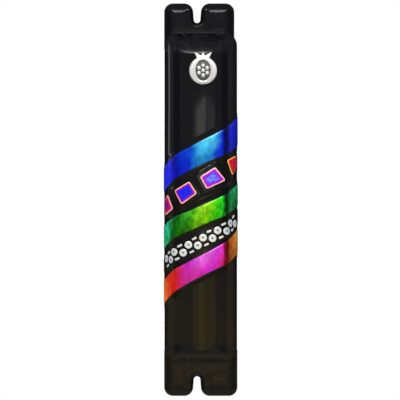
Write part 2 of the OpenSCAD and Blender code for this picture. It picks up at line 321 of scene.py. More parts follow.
def glass_field(p):
    """Below zero inside the glass shell."""
    x, depth, z = p[..., 0], -p[..., 1], p[..., 2]
    s, height = to_surface(x, depth)
    ridge = height - meniscus(s, z) - ripple(x, z) * smooth_step(0, 4, depth)
    for slope, crest_r in ((TOP_SLOPE, TOP_CREST_R), (BOTTOM_SLOPE, BOTTOM_CREST_R)):
        end = beyond_line(z, depth, (slope[0], TAB_T), (slope[1], CROWN_DEPTH))
        ridge = round_and(ridge, end, crest_r)
    ridge = round_and(ridge, end_distance(x, z), RAISED_EDGE_R)
    # The tabs' edges fall away softly, and more sharply round the ground slots
    steepness = 0.62 + smooth_step(5.0, 2.0, np.abs(x - NOTCH_X))
    slab = round_and(steepness * plan_distance(x, z), depth - TAB_T - ripple(x, z), TAB_EDGE_R)
    slab += 0.3 * np.maximum(TAB_Z - np.abs(z), 0)
    # The inner corner at the foot of the raised part is soft in front, but doesn't bulge at the sides
    fillet_r = 0.1 + 0.25 * smooth_step(3.6, 5.2, depth)
    shell = round_and(round_or(ridge, slab, fillet_r), -depth, BACK_EDGE_R)
    return round_and(shell, -channel_distance(x, depth, z), CHANNEL_EDGE_R)


def gradient(field, p, e=0.03):
    """A field's slope at points, from its values at a distance e to both sides."""
    found = np.empty_like(p)
    for axis in range(3):
        step = np.zeros(3)
        step[axis] = e
        found[..., axis] = (field(p + step) - field(p - step)) / (2 * e)
    return found


def part_of(grid, axis, first, last):
    """The part of a grid from the first index up to the last along one axis."""
    pick = [slice(None)] * 3
    pick[axis] = slice(first, last)
    return grid[tuple(pick)]


def surface_net(field, low, high, step):
    """Quads on the zero surface of a field inside a box. Returns vertices, outward normals and faces."""
    # One vertex in each cell that the surface passes, at the mean of where it cuts the cell's edges
    axes = [np.arange(low[i] - 2 * step, high[i] + 3 * step, step) for i in range(3)]
    values = field(np.stack(np.meshgrid(*axes, indexing="ij"), -1))
    cells = np.array(values.shape) - 1
    total = np.zeros((*cells, 3))
    count = np.zeros(cells)
    crossings = []
    for axis in range(3):
        a, b = part_of(values, axis, None, -1), part_of(values, axis, 1, None)
        crossed = (a < 0) != (b < 0)
        share = np.where(crossed, a / np.where(a == b, 1, a - b), 0)
        crossings.append(crossed)
        one, two = (i for i in range(3) if i != axis)
        for i in (0, 1):
            for j in (0, 1):
                hit, cut_at = (
                    part_of(part_of(grid, one, i, i + cells[one]), two, j, j + cells[two])
                    for grid in (crossed, share)
                )
                count += hit
                total[..., axis] += hit * cut_at
                total[..., one] += hit * i
                total[..., two] += hit * j
    used = count > 0
    index = np.full(cells, -1)
    index[used] = np.arange(used.sum())
    corner = np.stack(np.nonzero(used), -1)
    origin = np.array([a[0] for a in axes])
    vertices = origin + (corner + total[used] / count[used][:, None]) * step
    # One quad round each edge of the grid that the surface cuts
    faces = []
    for axis in range(3):
        one, two = (axis + 1) % 3, (axis + 2) % 3
        at = np.stack(np.nonzero(crossings[axis]), -1)
        at = at[(at[:, one] > 0) & (at[:, two] > 0)]
        quad = []
        for i, j in ((1, 1), (0, 1), (0, 0), (1, 0)):
            cell = at.copy()
            cell[:, one] -= i
            cell[:, two] -= j
            quad.append(index[tuple(cell.T)])
        quad = np.stack(quad, -1)
        flip = values[tuple(at.T)] >= 0
        quad[flip] = quad[flip][:, ::-1]
        faces.append(quad)
    # Then the vertices step onto the surface itself
    passes, longest_step, least_square = 5, 0.4, 0.05
    for _ in range(passes):
        slope = gradient(field, vertices)
        square = np.maximum((slope**2).sum(-1), least_square)
        reach = np.clip(field(vertices) / square, -longest_step, longest_step)
        vertices -= slope * reach[:, None]
    slope = gradient(field, vertices)
    normals = slope / np.linalg.norm(slope, axis=-1)[:, None]
    return vertices, normals, np.concatenate(faces)


# ---- Mesh making ----


def make_piece(name, vertices, faces, material, normals=None, attributes=None):
    """A smooth mesh object from millimetre points, with optional normals and named vertex values."""
    mesh = bpy.data.meshes.new(name)
    points = np.asarray(vertices) * MM
    mesh.from_pydata(points.tolist(), [], [list(map(int, face)) for face in faces])
    build = bmesh.new()
    build.from_mesh(mesh)
    bmesh.ops.recalc_face_normals(build, faces=build.faces)
    build.to_mesh(mesh)
    build.free()
    for key, values in (attributes or {}).items():
        layer = mesh.attributes.new(key, "FLOAT", "POINT")
        layer.data.foreach_set("value", np.asarray(values, np.float32))
    mesh.polygons.foreach_set("use_smooth", [True] * len(mesh.polygons))
    if normals is not None:
        mesh.normals_split_custom_set_from_vertices(np.asarray(normals).tolist())
    mesh.materials.append(MATERIALS[material])
    piece = bpy.data.objects.new(name, mesh)
    bpy.context.scene.collection.objects.link(piece)
    return piece


def settle(piece, body, node):
    """Rides the piece on its body, and hides the CAD node that it stands for."""
    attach(piece, body)
    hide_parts(node)


def ring_faces(rings, count, start=0):
    """Quads between neighbouring rings of count points, each ring closed on itself."""
    faces = []
    for low in range(start, start + (rings - 1) * count, count):
        for i in range(count):
            j = (i + 1) % count
            faces.append([low + i, low + j, low + count + j, low + count + i])
    return faces


# ---- Materials ----


def srgb(*levels):
    """A linear colour from display levels between 0 and 255."""
    shares = [level / 255 for level in levels]
    return tuple(v / 12.92 if v < 0.04 else ((v + 0.055) / 1.055) ** 2.4 for v in shares)


class Nodes:
    """The node tree of a material or the world, with short ways to add nodes and join them."""

    def __init__(self, owner):
        owner.use_nodes = True
        self.nodes, self.links = owner.node_tree.nodes, owner.node_tree.links

    def add(self, kind, inputs=None, **settings):
        node = self.nodes.new("ShaderNode" + kind)
        for key, value in settings.items():
            setattr(node, key, value)
        for key, value in (inputs or {}).items():
            self.join(value, node.inputs[key])
        return node

    def join(self, value, socket):
        """Links a socket to another, or gives it a value. A colour may leave out its alpha."""
        if isinstance(value, bpy.types.NodeSocket):
            self.links.new(value, socket)
        elif socket.type == "RGBA":
            socket.default_value = (*value, 1)
        else:
            socket.default_value = value

    def spread(self, value, low, high, to_low=0.0, to_high=1.0):
        """A value from low to high, spread over another range and kept within it."""
        inputs = {"Value": value, "From Min": low, "From Max": high}
        inputs.update({"To Min": to_low, "To Max": to_high})
        return self.add("MapRange", inputs).outputs[0]

    def ramp(self, factor, stops):
        """Colours by a factor from 0 to 1. Each stop is its place and its colour."""
        node = self.add("ValToRGB", {"Fac": factor})
        for i, (at, colour) in enumerate(stops):
            stop = node.color_ramp.elements[i] if i < 2 else node.color_ramp.elements.new(at)
            stop.position = at
            stop.color = (*colour, 1)
        return node.outputs[0]

    def mix(self, factor, a, b, blend="MIX"):
        inputs = {0: factor, 6: a, 7: b}
        return self.add("Mix", inputs, data_type="RGBA", blend_type=blend).outputs[2]


class Shader(Nodes):
    """A material's nodes round its surface shader."""

    def __init__(self, name):
        self.material = bpy.data.materials.new(name)
        super().__init__(self.material)
        self.surface = self.nodes["Principled BSDF"]
        self.place = self.add("TexCoord").outputs["Object"]

    def set(self, **values):
        """Gives the surface shader's sockets a value or a link each, by name."""
        for key, value in values.items():
            self.join(value, self.surface.inputs[key.replace("_", " ")])

    def axis(self, name):
        return self.add("SeparateXYZ", {0: self.place}).outputs[name]

    def noise(self, scale, detail=3.0, stretch=(1, 1, 1)):
        """Noise with about scale features per metre, or fewer along the axes that it is stretched on."""
        place = self.add("Mapping", {"Vector": self.place, "Scale": stretch}).outputs[0]
        return self.add("TexNoise", {"Vector": place, "Scale": scale, "Detail": detail}).outputs[0]

    def vary(self, noise, low, high):
        """Noise turned into values that wander between low and high."""
        return self.spread(noise, 0.3, 0.7, low, high)

    def plus(self, a, b):
        return self.add("Math", {0: a, 1: b}, operation="ADD").outputs[0]

    def times(self, a, b):
        return self.add("Math", {0: a, 1: b}, operation="MULTIPLY").outputs[0]

    def attribute(self, name):
        return self.add("Attribute", attribute_name=name).outputs["Fac"]

    def bump(self, height, strength, depth):
        """Relief of a depth in millimetres, shown by shading alone."""
        inputs = {"Height": height, "Strength": strength, "Distance": depth * MM}
        self.set(Normal=self.add("Bump", inputs).outputs[0])


def make_material(recipe, *details, name=None):
    """A material made by a recipe, and named after it unless it gets a name of its own."""
    m = Shader(name or recipe.__name__)
    recipe(m, *details)
    return m.material


def black_glass(m):
    """Fire-polished black glass, left matt where it lay on the mould and the kiln shelf, and with painted
    light on its lower slope.
    """
    shelf, slope, end = (m.attribute(key) for key in ("shelf", "slope", "end"))
    haze = m.spread(m.noise(160, 5), 0.35, 0.7, 0.035, 0.065)
    mottle = m.spread(m.noise(480, 4), 0.35, 0.65, 0.24, 0.5)
    haze = m.spread(slope, 0, 1, haze, mottle)
    waves = m.times(m.noise(330, 3), m.spread(end, 0, 1, 0.4, 18.0))
    grain = m.mix(shelf, waves, m.noise(1500, 5))
    dust = m.spread(m.noise(420, 6), 0.3, 0.75)
    matt = m.mix(dust, (0.022, 0.021, 0.020), (0.055, 0.053, 0.05))
    # Painted light: the lower slope is painted a lighter warm brown, which lifts the shade that its foot
    # casts on itself
    lower_slope_painted_light = m.times(m.spread(end, 0.5, 1.0), slope)
    # Faint crystal specks, where the glass was stretched over the mould's upper end
    specks = m.times(m.spread(m.noise(640, 4), 0.54, 0.66), slope)
    black = m.mix(m.times(specks, 0.75), (0.0035, 0.0035, 0.004), (0.022, 0.0215, 0.021))
    # The painted light on the lower slope, mixed over the black
    black = m.mix(lower_slope_painted_light, black, (0.0095, 0.0085, 0.0065))
    # Painted reflection: the steep, down-facing slope is painted a lighter warm brown, as if it mirrored
    # warm light from below
    black = m.mix(m.attribute("steep"), black, (0.017, 0.0152, 0.0115))
    m.set(Base_Color=m.mix(shelf, black, matt))
    m.set(Roughness=m.spread(shelf, 0, 1, haze, m.spread(dust, 0, 1, 0.5, 0.75)), IOR=1.52)
    m.bump(grain, 0.35, 0.04)


def dichroic_strip(m, upper_stops, lower_stops, blotch, blotch_share):
    """A metal-oxide coat under clear glass, whose colour turns with the curve of the case. Its colours run
    across the case, along the strip's upper and lower edges, and carry painted reflections: bright in the
    middle where the front lights would shine, near black on the shoulders where the dark room would be
    mirrored, and lighter along the upper edge as a painted highlight."""
    streaks = m.noise(1100, 4, (1, 1, 0.22))
    drift = m.vary(m.noise(300, 3), -0.012, 0.012)
    across_case = m.spread(m.axis("X"), -HALF_W * MM, HALF_W * MM)
    shift = m.plus(drift, m.vary(streaks, -0.012, 0.012))
    factor = m.plus(across_case, shift)
    upper, lower = (
        m.ramp(factor, [(at, srgb(*levels)) for at, levels in stops])
        for stops in (upper_stops, lower_stops)
    )
    # Painted highlight: the upper edge's colours are lighter than the lower edge's
    colour = m.mix(m.spread(m.attribute("across"), 0.25, 0.92), lower, upper)
    patches = m.spread(m.noise(620, 5, (1, 1, 0.7)), 0.4, 0.6, blotch_share, 0.0)
    colour = m.mix(patches, colour, blotch, "MULTIPLY")
    colour = m.mix(m.spread(streaks, 0.5, 0.8, 0.0, 0.2), colour, (1.0, 1.0, 1.0), "SOFT_LIGHT")
    # The clear glass is thickest, and its gloss plainest, along the rounded upper edge
    clear = m.spread(m.attribute("across"), 0.88, 0.93, 0.4, 1.0)
    m.set(Base_Color=colour, Metallic=0.15, Coat_Weight=clear, Coat_Roughness=0.06)
    m.set(Roughness=m.vary(m.noise(700, 3), 0.2, 0.36), Specular_IOR_Level=0.06)
    m.bump(m.plus(streaks, m.noise(2600, 2)), 0.12, 0.03)


def dichroic_tile(m, stops, mottle):
    """A coated tile, pale along its ground rim and changing colour towards its middle."""
    wander = m.vary(m.noise(520, 4), -0.16, 0.16)
    inward = m.plus(m.attribute("rim"), m.times(wander, m.attribute("rim")))
    colour = m.ramp(inward, [(at, srgb(*levels)) for at, levels in stops])
    flecks = m.spread(m.noise(850, 4), 0.5, 0.62)
    inner = m.spread(inward, 0.6, 0.95, 0.0, 0.85)
    colour = m.mix(m.times(flecks, inner), colour, srgb(*mottle))
    m.set(Base_Color=colour, Metallic=0.15, Coat_Weight=0.5, Coat_Roughness=0.06)
    m.set(Roughness=m.spread(flecks, 0, 1, 0.2, 0.34), Specular_IOR_Level=0.06)
    m.bump(m.noise(1800, 3), 0.25, 0.03)


def silver_coat(m):
    """Bright film, thin and grey in the middle of each mark, with faint tints from mark to mark."""
    tints = [(0.3, (0.68, 0.83, 0.95)), (0.5, (0.97, 0.98, 0.98)), (0.7, (0.96, 0.96, 0.78))]
    tint = m.ramp(m.noise(230, 2), tints)
    out = m.plus(m.attribute("radial"), m.vary(m.noise(2500, 3), -0.12, 0.12))
    greys = [(0.12, (0.16, 0.18, 0.2)), (0.3, (0.55, 0.58, 0.6)), (0.42, (1, 1, 1))]
    worn = m.ramp(out, greys + [(1.0, (0.95, 0.95, 0.95))])
    m.set(Base_Color=m.mix(1.0, tint, worn, "MULTIPLY"), Metallic=0.5)
    m.set(Roughness=m.vary(m.noise(1800, 4), 0.2, 0.45))
    m.bump(m.noise(3200, 3), 0.3, 0.03)


def pewter(m):
    """Cast pewter, polished on its high places and grey in its hollows."""
    hollow = m.plus(m.attribute("hollow"), m.vary(m.noise(1400, 4), -0.15, 0.15))
    m.set(Base_Color=m.ramp(hollow, [(0.15, (0.93, 0.93, 0.91)), (0.9, (0.13, 0.13, 0.125))]))
    m.set(Metallic=0.6, Roughness=m.vary(m.noise(900, 4, (1, 1, 0.3)), 0.32, 0.5))
    m.bump(m.noise(2400, 4), 0.4, 0.04)


def white_foam(m):
    """Closed-cell foam tape: fine cells and faint handling marks."""
    cells = m.add("TexVoronoi", {"Vector": m.place, "Scale": 2600.0}, feature="DISTANCE_TO_EDGE")
    walls = m.spread(cells.outputs["Distance"], 0.0, 0.25)
    marks = m.spread(m.noise(260, 4), 0.35, 0.7)
    shade = m.mix(marks, (0.78, 0.77, 0.73), (0.88, 0.875, 0.85))
    m.set(Base_Color=m.mix(walls, shade, (0.6, 0.59, 0.56)), Roughness=0.9, Sheen_Weight=0.15)
    m.bump(walls, 0.7, 0.12)


def clear_plastic(m):
    """A thin clear tube with drawing lines along it and light scuffs."""
    lines = m.noise(2200, 3, (1, 1, 0.02))
    scuffs = m.spread(m.noise(500, 6), 0.52, 0.75, 0.03, 0.3)
    m.set(Base_Color=m.mix(lines, (0.95, 0.98, 0.985), (0.9, 0.95, 0.965)), Roughness=scuffs)
    m.set(IOR=1.49, Transmission_Weight=1.0, Alpha=m.vary(m.noise(300, 3), 0.3, 0.45))
    m.bump(lines, 0.2, 0.03)


def ivory_plastic(m):
    """Satin moulded plastic with a fine spark-eroded texture."""
    flow = m.noise(190, 4)
    m.set(Base_Color=m.mix(flow, (0.66, 0.62, 0.50), (0.76, 0.73, 0.62)), IOR=1.49)
    m.set(Roughness=m.vary(m.noise(1200, 3), 0.36, 0.52), Subsurface_Weight=0.1)
    m.surface.inputs["Subsurface Radius"].default_value = (0.001, 0.0008, 0.0005)
    m.bump(m.noise(5200, 2), 0.35, 0.03)


def parchment(m):
    """Rolled parchment: cloudy cream, with hair follicles and faint fibres."""
    clouds = m.noise(150, 5, (1, 1, 0.5))
    fibres = m.noise(1900, 4, (1, 1, 0.12))
    pores = m.spread(m.noise(4200, 2), 0.62, 0.72)
    creams = [(0.3, (0.74, 0.63, 0.44)), (0.55, (0.87, 0.79, 0.61)), (0.75, (0.93, 0.88, 0.75))]
    tone = m.ramp(clouds, creams)
    tone = m.mix(m.spread(fibres, 0.45, 0.75, 0.0, 0.35), tone, (0.62, 0.5, 0.32), "MULTIPLY")
    m.set(Base_Color=m.mix(m.times(pores, 0.5), tone, (0.45, 0.34, 0.2)))
    m.set(Roughness=m.vary(clouds, 0.55, 0.75), Sheen_Weight=0.1)
    m.bump(fibres, 0.35, 0.05)


def clear_adhesive(m):
    """Cured clear silicone, slightly cloudy, with small trapped bubbles."""
    bubbles = m.spread(m.noise(3000, 2), 0.6, 0.7)
    m.set(Base_Color=m.mix(bubbles, (0.62, 0.62, 0.6), (0.85, 0.85, 0.83)), IOR=1.41)
    m.set(Roughness=m.spread(bubbles, 0, 1, 0.18, 0.4), Transmission_Weight=0.6)
    m.bump(m.noise(1500, 3), 0.3, 0.04)


def pale_floor(m):
    """Pale matt board, hardly mottled."""
    m.set(Base_Color=m.mix(m.noise(3, 4), (0.84, 0.84, 0.83), (0.88, 0.88, 0.87)), Roughness=0.85)


# Colours across the case, from its left foot at 0 to its right at 1, along each strip's upper edge. They
# hold the coat's turning hue and painted reflections: bright in the middle where the front lights would
# shine, near black on the shoulders where the dark room would be mirrored, and lighter than the lower edge
# as a painted highlight
BLUE_UPPER = [
    (0.0, (40, 50, 215)), (0.06, (20, 35, 235)), (0.11, (10, 15, 150)), (0.17, (10, 25, 145)),
    (0.24, (0, 45, 205)), (0.36, (0, 70, 190)), (0.42, (15, 125, 200)), (0.5, (60, 190, 230)),
    (0.6, (80, 210, 240)), (0.7, (85, 200, 240)), (0.75, (35, 125, 210)), (0.79, (10, 50, 200)),
    (0.825, (0, 6, 75)), (0.865, (5, 12, 95)), (0.9, (5, 25, 205)), (1.0, (5, 25, 205)),
]
GREEN_UPPER = [
    (0.0, (50, 200, 180)), (0.06, (40, 205, 150)), (0.1, (20, 150, 70)), (0.15, (15, 100, 30)),
    (0.2, (15, 115, 15)), (0.25, (45, 160, 35)), (0.37, (70, 175, 10)), (0.43, (115, 205, 0)),
    (0.5, (155, 225, 10)), (0.58, (150, 215, 5)), (0.7, (95, 205, 5)), (0.76, (25, 215, 10)),
    (0.795, (40, 215, 30)), (0.825, (0, 70, 5)), (0.865, (0, 40, 2)), (0.9, (5, 125, 65)),
    (0.94, (10, 180, 95)), (1.0, (20, 165, 95)),
]
MAGENTA_UPPER = [
    (0.0, (235, 110, 30)), (0.06, (215, 40, 0)), (0.12, (200, 30, 5)), (0.16, (185, 30, 30)),
    (0.21, (200, 35, 95)), (0.26, (195, 40, 160)), (0.34, (180, 30, 180)), (0.43, (205, 75, 210)),
    (0.5, (220, 105, 222)), (0.6, (212, 100, 212)), (0.7, (190, 65, 198)), (0.76, (205, 50, 205)),
    (0.795, (220, 50, 172)), (0.825, (115, 5, 35)), (0.865, (75, 6, 0)), (0.9, (165, 75, 5)),
    (0.95, (210, 125, 20)), (1.0, (220, 165, 70)),
]
# The same along the lower edges, with the same painted reflections but less painted highlight
BLUE_LOWER = [
    (0.0, (30, 40, 225)), (0.07, (10, 35, 245)), (0.12, (5, 15, 180)), (0.17, (5, 15, 140)),
    (0.24, (0, 25, 190)), (0.34, (0, 35, 185)), (0.4, (0, 85, 185)), (0.5, (5, 125, 190)),
    (0.6, (15, 130, 195)), (0.66, (10, 110, 205)), (0.7, (0, 55, 180)), (0.79, (0, 35, 205)),
    (0.825, (0, 8, 75)), (0.865, (5, 12, 95)), (0.9, (10, 25, 190)), (1.0, (10, 25, 165)),
]
GREEN_LOWER = [
    (0.0, (35, 205, 165)), (0.06, (15, 175, 95)), (0.1, (0, 90, 10)), (0.2, (10, 110, 0)),
    (0.3, (25, 100, 0)), (0.36, (50, 130, 5)), (0.42, (100, 180, 5)), (0.55, (120, 195, 0)),
    (0.65, (75, 190, 0)), (0.74, (30, 180, 5)), (0.795, (40, 195, 30)), (0.825, (0, 70, 5)),
    (0.865, (0, 45, 2)), (0.9, (15, 130, 75)), (1.0, (0, 115, 55)),
]
MAGENTA_LOWER = [
    (0.0, (235, 150, 70)), (0.06, (225, 70, 10)), (0.11, (205, 25, 15)), (0.16, (200, 25, 20)),
    (0.21, (198, 30, 85)), (0.3, (178, 35, 135)), (0.38, (195, 40, 150)), (0.5, (195, 42, 165)),
    (0.56, (208, 42, 200)), (0.7, (200, 38, 185)), (0.79, (205, 35, 130)), (0.825, (110, 5, 15)),
    (0.865, (90, 10, 0)), (0.9, (145, 72, 5)), (1.0, (180, 110, 30)),
]
PLAIN_MATERIALS = (
    black_glass, silver_coat, pewter, clear_adhesive, white_foam, clear_plastic, ivory_plastic, parchment
)
MATERIALS = {recipe.__name__: make_material(recipe) for recipe in PLAIN_MATERIALS}
# Each strip's colours along its edges, then the tint of its patches and how much it shows
for colour, *details in (
    ("blue", BLUE_UPPER, BLUE_LOWER, (0.2, 0.25, 0.4), 0.4),
    ("green", GREEN_UPPER, GREEN_LOWER, (0.15, 0.3, 0.15), 0.65),
    ("magenta", MAGENTA_UPPER, MAGENTA_LOWER, (0.6, 0.15, 0.4), 0.4),
):
    coat = make_material(dichroic_strip, *details, name=colour + "_coat")
    MATERIALS[colour + "_dichroic_glass"] = coat
# Colours of each tile from its rim at 0 inwards, and the flecks in its middle
TILE_COLOURS = {
    "tile_left_edge": (
        [(0.0, (250, 215, 190)), (0.2, (242, 140, 135)), (0.34, (205, 0, 80)), (0.9, (128, 0, 135))],
        (80, 0, 120),
    ),
    "tile_left": (
        [(0.0, (252, 222, 200)), (0.2, (245, 165, 150)), (0.32, (190, 12, 110)),
         (0.5, (105, 16, 200)), (0.72, (18, 30, 235)), (1.0, (15, 38, 225))],
        (45, 10, 180),
    ),
    "tile_right": (
        [(0.0, (255, 235, 218)), (0.22, (248, 180, 180)), (0.34, (205, 14, 150)),
         (0.56, (150, 26, 225)), (0.8, (100, 55, 228)), (1.0, (115, 120, 240))],
        (20, 24, 130),
    ),
    "tile_right_edge": (
        [(0.0, (252, 225, 130)), (0.18, (240, 150, 60)), (0.3, (195, 0, 5)), (0.95, (200, 8, 60))],
        (150, 0, 20),
    ),
}


# ---- Glass and coat pieces ----


def make_glass_shell():
    """The case's one piece of black glass. Its vertex values say where the kiln changed its surface, and
    where the glass gets painted light.
    """
    vertices, normals, faces = surface_net(glass_field, CASE_LOW, CASE_HIGH, GLASS_GRID)
    x, depth, z = vertices[:, 0], -vertices[:, 1], vertices[:, 2]
    from_middle = np.abs(z)
    on_shelf = smooth_step(0.3, 0.0, depth)
    on_mould = smooth_step(0.6, 0.1, np.abs(channel_distance(x, depth, z)))
    # The slopes, their haze thinning out on the tabs and stopping short of the flanks
    slope_start = np.where(z > 0, 55.8, 57.6)
    on_slope = smooth_step(slope_start, slope_start + 2.4, from_middle)
    on_slope *= 1 - 0.75 * smooth_step(64.0, 67.0, from_middle)
    on_slope *= smooth_step(12.4, 10.8, np.abs(x)) * (1 - on_shelf)
    on_end = smooth_step(55.0, 60.0, from_middle) * np.where(z > 0, 0.45, 1.0)
    # Painted reflection: the steep, down-facing part of the lower slope is marked for a lighter warm
    # colour, as if lit from below
    underside_painted_light = on_slope * smooth_step(0.5, 0.9, -normals[:, 2])
    values = {"shelf": np.maximum(on_shelf, on_mould), "slope": on_slope}
    values.update({"end": on_end, "steep": underside_painted_light})
    piece = make_piece("glass_body", vertices, faces, "black_glass", normals, values)
    settle(piece, "case", "glass_shell")
    return piece


def strip_loop(edge_w=0.8, edge_h=0.45, crown=0.06, edge_steps=8, top_steps=12):
    """Cross-section of a strip as (share of its width, offset, height): round edges, sunk underside."""
    edge = [(0.0, -0.02, -SUNK)]
    for angle in np.linspace(0, math.pi / 2, edge_steps):
        offset = edge_w * (1 - math.cos(angle))
        edge.append((0.0, offset, RELIEF - edge_h * (1 - math.sin(angle))))
    shares = np.linspace(0.12, 0.88, top_steps)
    top = [(f, 0.0, RELIEF + crown * (1 - (2 * f - 1) ** 2)) for f in shares]
    far_edge = [(1.0, -offset, height) for _, offset, height in reversed(edge)]
    return np.array(edge + top + far_edge).T


def make_strip(name, slot, seed):
    """A strip draped over the case from one foot to the other, with hand-cut edges."""
    rng = np.random.default_rng(seed)
    foot, stations, wobble = FOOT_S - 0.1, 180, 0.035
    s = np.linspace(-foot, foot, stations)
    share, offset, height = strip_loop()
    edges = []
    for cut in STRIPS[name]:
        edge = cut_height(cut, s)
        for k in (1, 2, 5):
            edge = edge + rng.uniform(-wobble, wobble) * np.sin(k * s / 4 + rng.uniform(0, 6))
        edges.append(edge[:, None])
    upper, lower = edges
    lean = 1 / math.cos(math.radians(STRIPS[name][0][0]))
    z = lower + (upper - lower) * share + offset * lean
    across = (z - lower) / (upper - lower)
    x = front_x_of(s)[:, None]
    height = np.where(height > 0, height * proud_share(s)[:, None], height)
    points = on_surface(s[:, None], z, height + ripple(x, z) * (height > 0))
    points[..., 1] = np.minimum(points[..., 1], -0.02)
    count = len(share)
    last = (stations - 1) * count
    faces = ring_faces(stations, count) + [list(range(count)), list(range(last, last + count))]
    vertices = points.reshape(-1, 3)
    piece = make_piece(name + "_glass", vertices, faces, slot, None, {"across": across.ravel()})
    settle(piece, "case", name)
    return piece


class Caps:
    """Low caps draped on the case, gathered into one mesh. A flat point is (u, z)."""

    def __init__(self):
        self.vertices, self.faces, self.values = [], [], []

    def add(self, rings, heights, values, middle):
        """Adds one cap from its flat rings, outermost and lowest first, closed on its middle point."""
        start = len(self.vertices)
        count = len(rings[0])
        for ring, height, value in zip(rings, heights, values):
            self.vertices.extend(self.drape(np.array(ring), height))
            self.values.extend([value] * count)
        self.vertices.extend(self.drape(np.array([middle]), heights[-1]))
        self.values.append(values[-1])
        self.faces += ring_faces(len(rings), count, start)
        self.faces.append([start + i for i in range(count)])
        inner, centre = start + (len(rings) - 1) * count, start + len(rings) * count
        self.faces += [[inner + i, inner + (i + 1) % count, centre] for i in range(count)]

    @staticmethod
    def drape(flat, height):
        """Points on the case at flat points, kept short of its back edge."""
        limit = flat_of(FOOT_S - 0.12)
        s = round_of(np.clip(flat[:, 0], -limit, limit))
        share = proud_share(s) if height > 0 else 1
        lift = height * share + ripple(front_x_of(s), flat[:, 1])
        return on_surface(s, flat[:, 1], lift).tolist()


def bend(start, corner, end, t):
    """Point at share t of the curve that rounds a corner off."""
    return (1 - t) ** 2 * start + 2 * t * (1 - t) * corner + t**2 * end


def rounded_ring(corners, inset, corner_r, side_steps=6, corner_steps=8):
    """The outline of a polygon moved inwards, with its corners rounded."""
    corners = np.array(corners, float)
    before = corners - np.roll(corners, 1, 0)
    after = np.roll(corners, -1, 0) - corners
    unit_before = before / np.linalg.norm(before, axis=1)[:, None]
    unit_after = after / np.linalg.norm(after, axis=1)[:, None]
    turn = np.arccos(np.clip((unit_before * unit_after).sum(1), -1, 1))
    inward = unit_after - unit_before
    inward /= np.linalg.norm(inward, axis=1)[:, None]
    moved = corners + inward * (inset / np.cos(turn / 2))[:, None]
    reach = (corner_r * np.tan(turn / 2))[:, None]
    starts, ends = moved - unit_before * reach, moved + unit_after * reach
    ring = []
    for i in range(len(corners)):
        for t in np.linspace(0, 1, corner_steps):
            ring.append(bend(starts[i], moved[i], ends[i], t))
        side = starts[(i + 1) % len(corners)] - ends[i]
        ring.extend(ends[i] + side * t for t in np.linspace(0, 1, side_steps + 2)[1:-1])
    return ring


def make_tile(name):
    """A tile with a soft ground rim and a slightly domed top."""
    corners = TILES[name]
    # Each ring's inset from the cut edge and its height
    profile = [(0.0, -SUNK), (0.0, 0.06), (0.04, 0.18), (0.14, 0.31), (0.3, 0.42), (0.5, 0.48)]
    profile += [(0.75, 0.52), (1.0, 0.55), (1.3, 0.58), (1.7, 0.6), (2.1, 0.61)]
    rings = [rounded_ring(corners, inset, max(0.25, 0.9 - 0.6 * inset)) for inset, _ in profile]
    heights = [height for _, height in profile]
    # The rim value grows from 0 at the edge to 1 in the middle
    values = [min(1.0, inset / 2.0) for inset, _ in profile]
    cap = Caps()
    cap.add(rings, heights, values, np.mean(corners, 0))
    MATERIALS[name] = make_material(dichroic_tile, *TILE_COLOURS[name], name=name + "_coat")
    piece = make_piece(name + "_glass", cap.vertices, cap.faces, name, None, {"rim": cap.values})
    settle(piece, "case", name)


def dotted_flat(along, across):
    """Flat point (u, z) from distances along and across the dotted strip."""
    lean = math.radians(DOTTED_TILT)
    u = along * math.cos(lean) - across * math.sin(lean)
    return u, DOTTED_Z + along * math.sin(lean) + across * math.cos(lean)


def make_marks(name, places, outline, profile):
    """The coated marks on the dotted strip. The profile is each ring's share of the outline, and height."""
    cap = Caps()
    reach = flat_of(FOOT_S)
    for along, across in places:
        rings = [
            [dotted_flat(along + share * x, across + share * y) for x, y in outline]
            for share, _ in profile
        ]
        if max(abs(u) for u, _ in rings[0]) < reach:
            heights = [height for _, height in profile]
            values = [share for share, _ in profile]
            cap.add(rings, heights, values, dotted_flat(along, across))
    piece = make_piece(name, cap.vertices, cap.faces, "silver_coat", None, {"radial": cap.values})
    settle(piece, "case", "pattern_" + name.split("_")[1])


def row(start, across):
    """Places along a row of the pattern, from one edge of the case to the other."""
    return [(start + i * DOT_PITCH, across) for i in range(-4, 5)]


def make_pattern():
    """Two rows of dots, worn in their middles, and the short bars between them."""
    turns = np.linspace(0, 2 * math.pi, 29)[:-1]
    circle = [(DOT_R * math.cos(a), DOT_R * math.sin(a)) for a in turns]
    dot_profile = [(1.0, 0.47), (1.0, 0.6), (0.96, 0.65), (0.86, 0.68), (0.6, 0.7)]
    dot_profile += [(0.34, 0.7), (0.25, 0.66), (0.12, 0.64)]
    places = row(DOT_START, DOT_ROW) + row(DOT_START + DOT_PITCH / 2, -DOT_ROW)
    make_marks("silver_dots", places, circle, dot_profile)
    half_l, half_w = 0.95, 0.4
    corners = [(-half_l, -half_w), (half_l, -half_w), (half_l, half_w), (-half_l, half_w)]
    bar = rounded_ring(corners, 0, 0.35, 2, 5)
    bar_profile = [(1.0, 0.45), (1.0, 0.57), (0.9, 0.64), (0.7, 0.66)]
    across = DOT_ROW + DOT_R - 0.3
    places = row(DOT_START - DOT_PITCH / 2, across) + row(DOT_START, -across)
    make_marks("silver_dashes", places, bar, bar_profile)


# ---- Emblem ----

